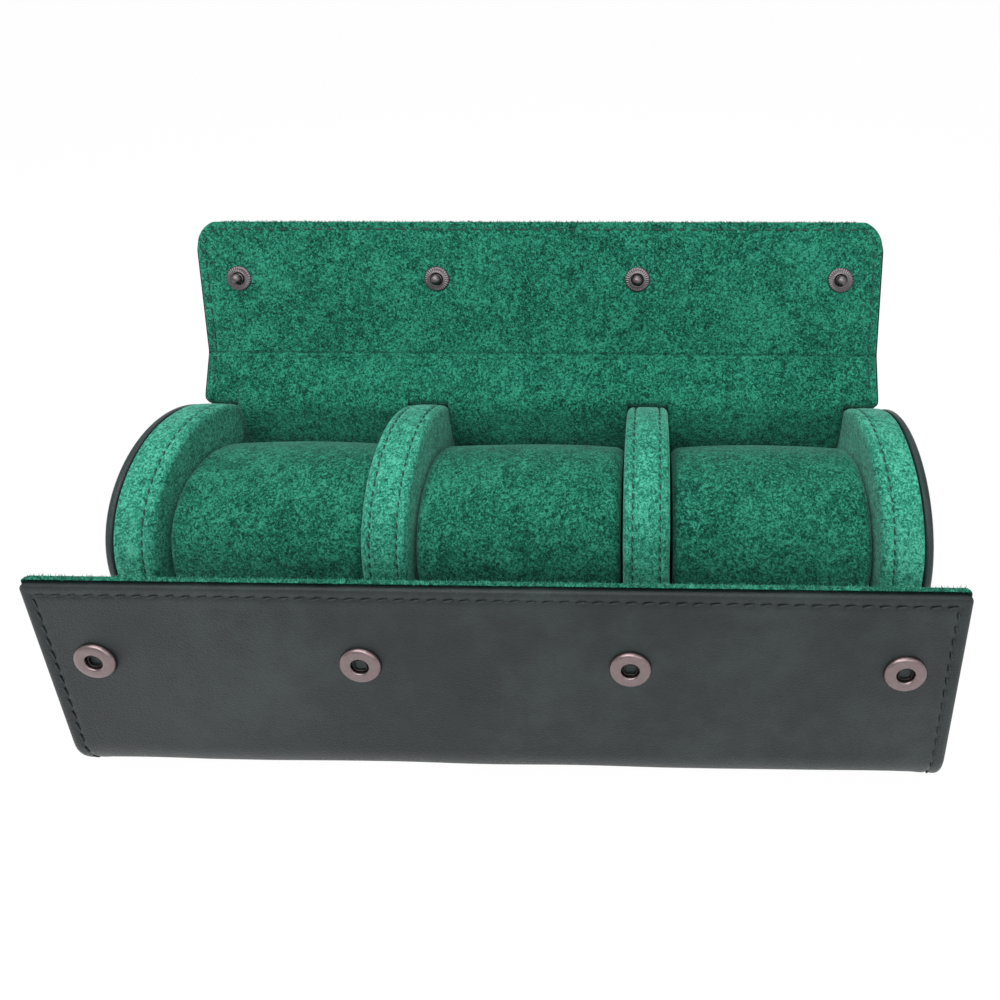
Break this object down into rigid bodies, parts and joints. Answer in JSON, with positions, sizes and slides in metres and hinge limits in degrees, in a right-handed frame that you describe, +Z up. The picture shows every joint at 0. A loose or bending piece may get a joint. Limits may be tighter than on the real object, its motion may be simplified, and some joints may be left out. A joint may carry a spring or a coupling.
{
  "type": "watch travel case",
  "caption": "Round travel roll for wristwatches: suede-lined leather wrap with snap flaps, padded end caps, dividers and lift-out pillows, shown open.",
  "frame": {"origin": "on the ground under the roll's centre line, half way along it", "axes": "+X along the roll, +Y towards the rear flap, +Z up"},
  "size_m": [0.236, 0.1149, 0.119],
  "materials": {
    "suede": "napped suede, emerald green",
    "leather": "smooth leather with a soft sheen, dark slate green",
    "foam": "soft padding foam",
    "board": "pressed board",
    "socket_metal": "gunmetal plating",
    "stud_metal": "gunmetal plating"
  },
  "bodies": {
    "case": {"base_suede": "suede", "base_foam": "foam", "base_leather": "leather", "left_cap_core": "board", "left_cap_suede": "suede", "left_end_disc": "leather", "left_divider_core": "board", "left_divider_suede": "suede", "right_cap_core": "board", "right_cap_suede": "suede", "right_end_disc": "leather", "right_divider_core": "board", "right_divider_suede": "suede"},
    "front_1": {"front_suede_1": "suede", "front_foam_1": "foam", "front_leather_1": "leather"},
    "front_2": {"front_suede_2": "suede", "front_foam_2": "foam", "front_leather_2": "leather"},
    "front_3": {"front_suede_3": "suede", "front_foam_3": "foam", "front_leather_3": "leather"},
    "front_4": {"front_suede_4": "suede", "front_foam_4": "foam", "front_leather_4": "leather", "snap_sockets": "socket_metal", "socket_posts": "socket_metal"},
    "front_5": {"front_suede_5": "suede", "front_foam_5": "foam", "front_leather_5": "leather"},
    "rear_1": {"rear_suede_1": "suede", "rear_foam_1": "foam", "rear_leather_1": "leather"},
    "rear_2": {"rear_suede_2": "suede", "rear_foam_2": "foam", "rear_leather_2": "leather"},
    "rear_3": {"rear_suede_3": "suede", "rear_foam_3": "foam", "rear_leather_3": "leather", "snap_studs": "stud_metal", "stud_buttons": "stud_metal"},
    "rear_4": {"rear_suede_4": "suede", "rear_foam_4": "foam", "rear_leather_4": "leather"},
    "pillow_left": {"pillow_core_left": "foam", "pillow_cover_left": "suede"},
    "pillow_middle": {"pillow_core_middle": "foam", "pillow_cover_middle": "suede"},
    "pillow_right": {"pillow_core_right": "foam", "pillow_cover_right": "suede"}
  },
  "joints": [
    {"name": "front_fold_1", "type": "hinge", "parent": "case", "child": "front_1", "pos_m": [0, -0.011, 0.0024], "axis": [1, 0, 0], "range_deg": [-35.5, 0]},
    {"name": "front_fold_2", "type": "hinge", "parent": "front_1", "child": "front_2", "pos_m": [0, -0.03145, 0.0024], "axis": [1, 0, 0], "range_deg": [-31.77, 0]},
    {"name": "front_fold_3", "type": "hinge", "parent": "front_2", "child": "front_3", "pos_m": [0, -0.06236, 0.0049], "axis": [1, 0, 0], "range_deg": [0, 33.16]},
    {"name": "front_fold_4", "type": "hinge", "parent": "front_3", "child": "front_4", "pos_m": [0, -0.0596, 0.03354], "axis": [1, 0, 0], "range_deg": [-25.17, 0]},
    {"name": "front_fold_5", "type": "hinge", "parent": "front_4", "child": "front_5", "pos_m": [0, -0.05628, 0.05143], "axis": [1, 0, 0], "range_deg": [-34.78, 0]},
    {"name": "rear_fold_1", "type": "hinge", "parent": "case", "child": "rear_1", "pos_m": [0, 0.02215, 0.06243], "axis": [-1, 0, 0], "range_deg": [-62.35, 0]},
    {"name": "rear_fold_2", "type": "hinge", "parent": "rear_1", "child": "rear_2", "pos_m": [0, 0.03256, 0.07625], "axis": [-1, 0, 0], "range_deg": [-50.13, 0]},
    {"name": "rear_fold_3", "type": "hinge", "parent": "rear_2", "child": "rear_3", "pos_m": [0, 0.03804, 0.09234], "axis": [-1, 0, 0], "range_deg": [-16.7, 0]},
    {"name": "rear_fold_4", "type": "hinge", "parent": "rear_3", "child": "rear_4", "pos_m": [0, 0.04351, 0.10843], "axis": [-1, 0, 0], "range_deg": [-17.05, 0]},
    {"name": "pillow_left_lift", "type": "slide", "parent": "case", "child": "pillow_left", "axis": [0, -0.309, 0.9511], "range_m": [0, 0.08]},
    {"name": "pillow_middle_lift", "type": "slide", "parent": "case", "child": "pillow_middle", "axis": [0, -0.309, 0.9511], "range_m": [0, 0.08]},
    {"name": "pillow_right_lift", "type": "slide", "parent": "case", "child": "pillow_right", "axis": [0, -0.309, 0.9511], "range_m": [0, 0.08]}
  ],
  "couplings": [
    {"joint": "front_fold_2", "follows": "front_fold_1", "ratio": 0.89352},
    {"joint": "front_fold_3", "follows": "front_fold_1", "ratio": -0.93268},
    {"joint": "front_fold_4", "follows": "front_fold_1", "ratio": 0.70761},
    {"joint": "front_fold_5", "follows": "front_fold_1", "ratio": 0.97831},
    {"joint": "rear_fold_2", "follows": "rear_fold_1", "ratio": 0.80321},
    {"joint": "rear_fold_3", "follows": "rear_fold_1", "ratio": 0.26704},
    {"joint": "rear_fold_4", "follows": "rear_fold_1", "ratio": 0.27265}
  ]
}
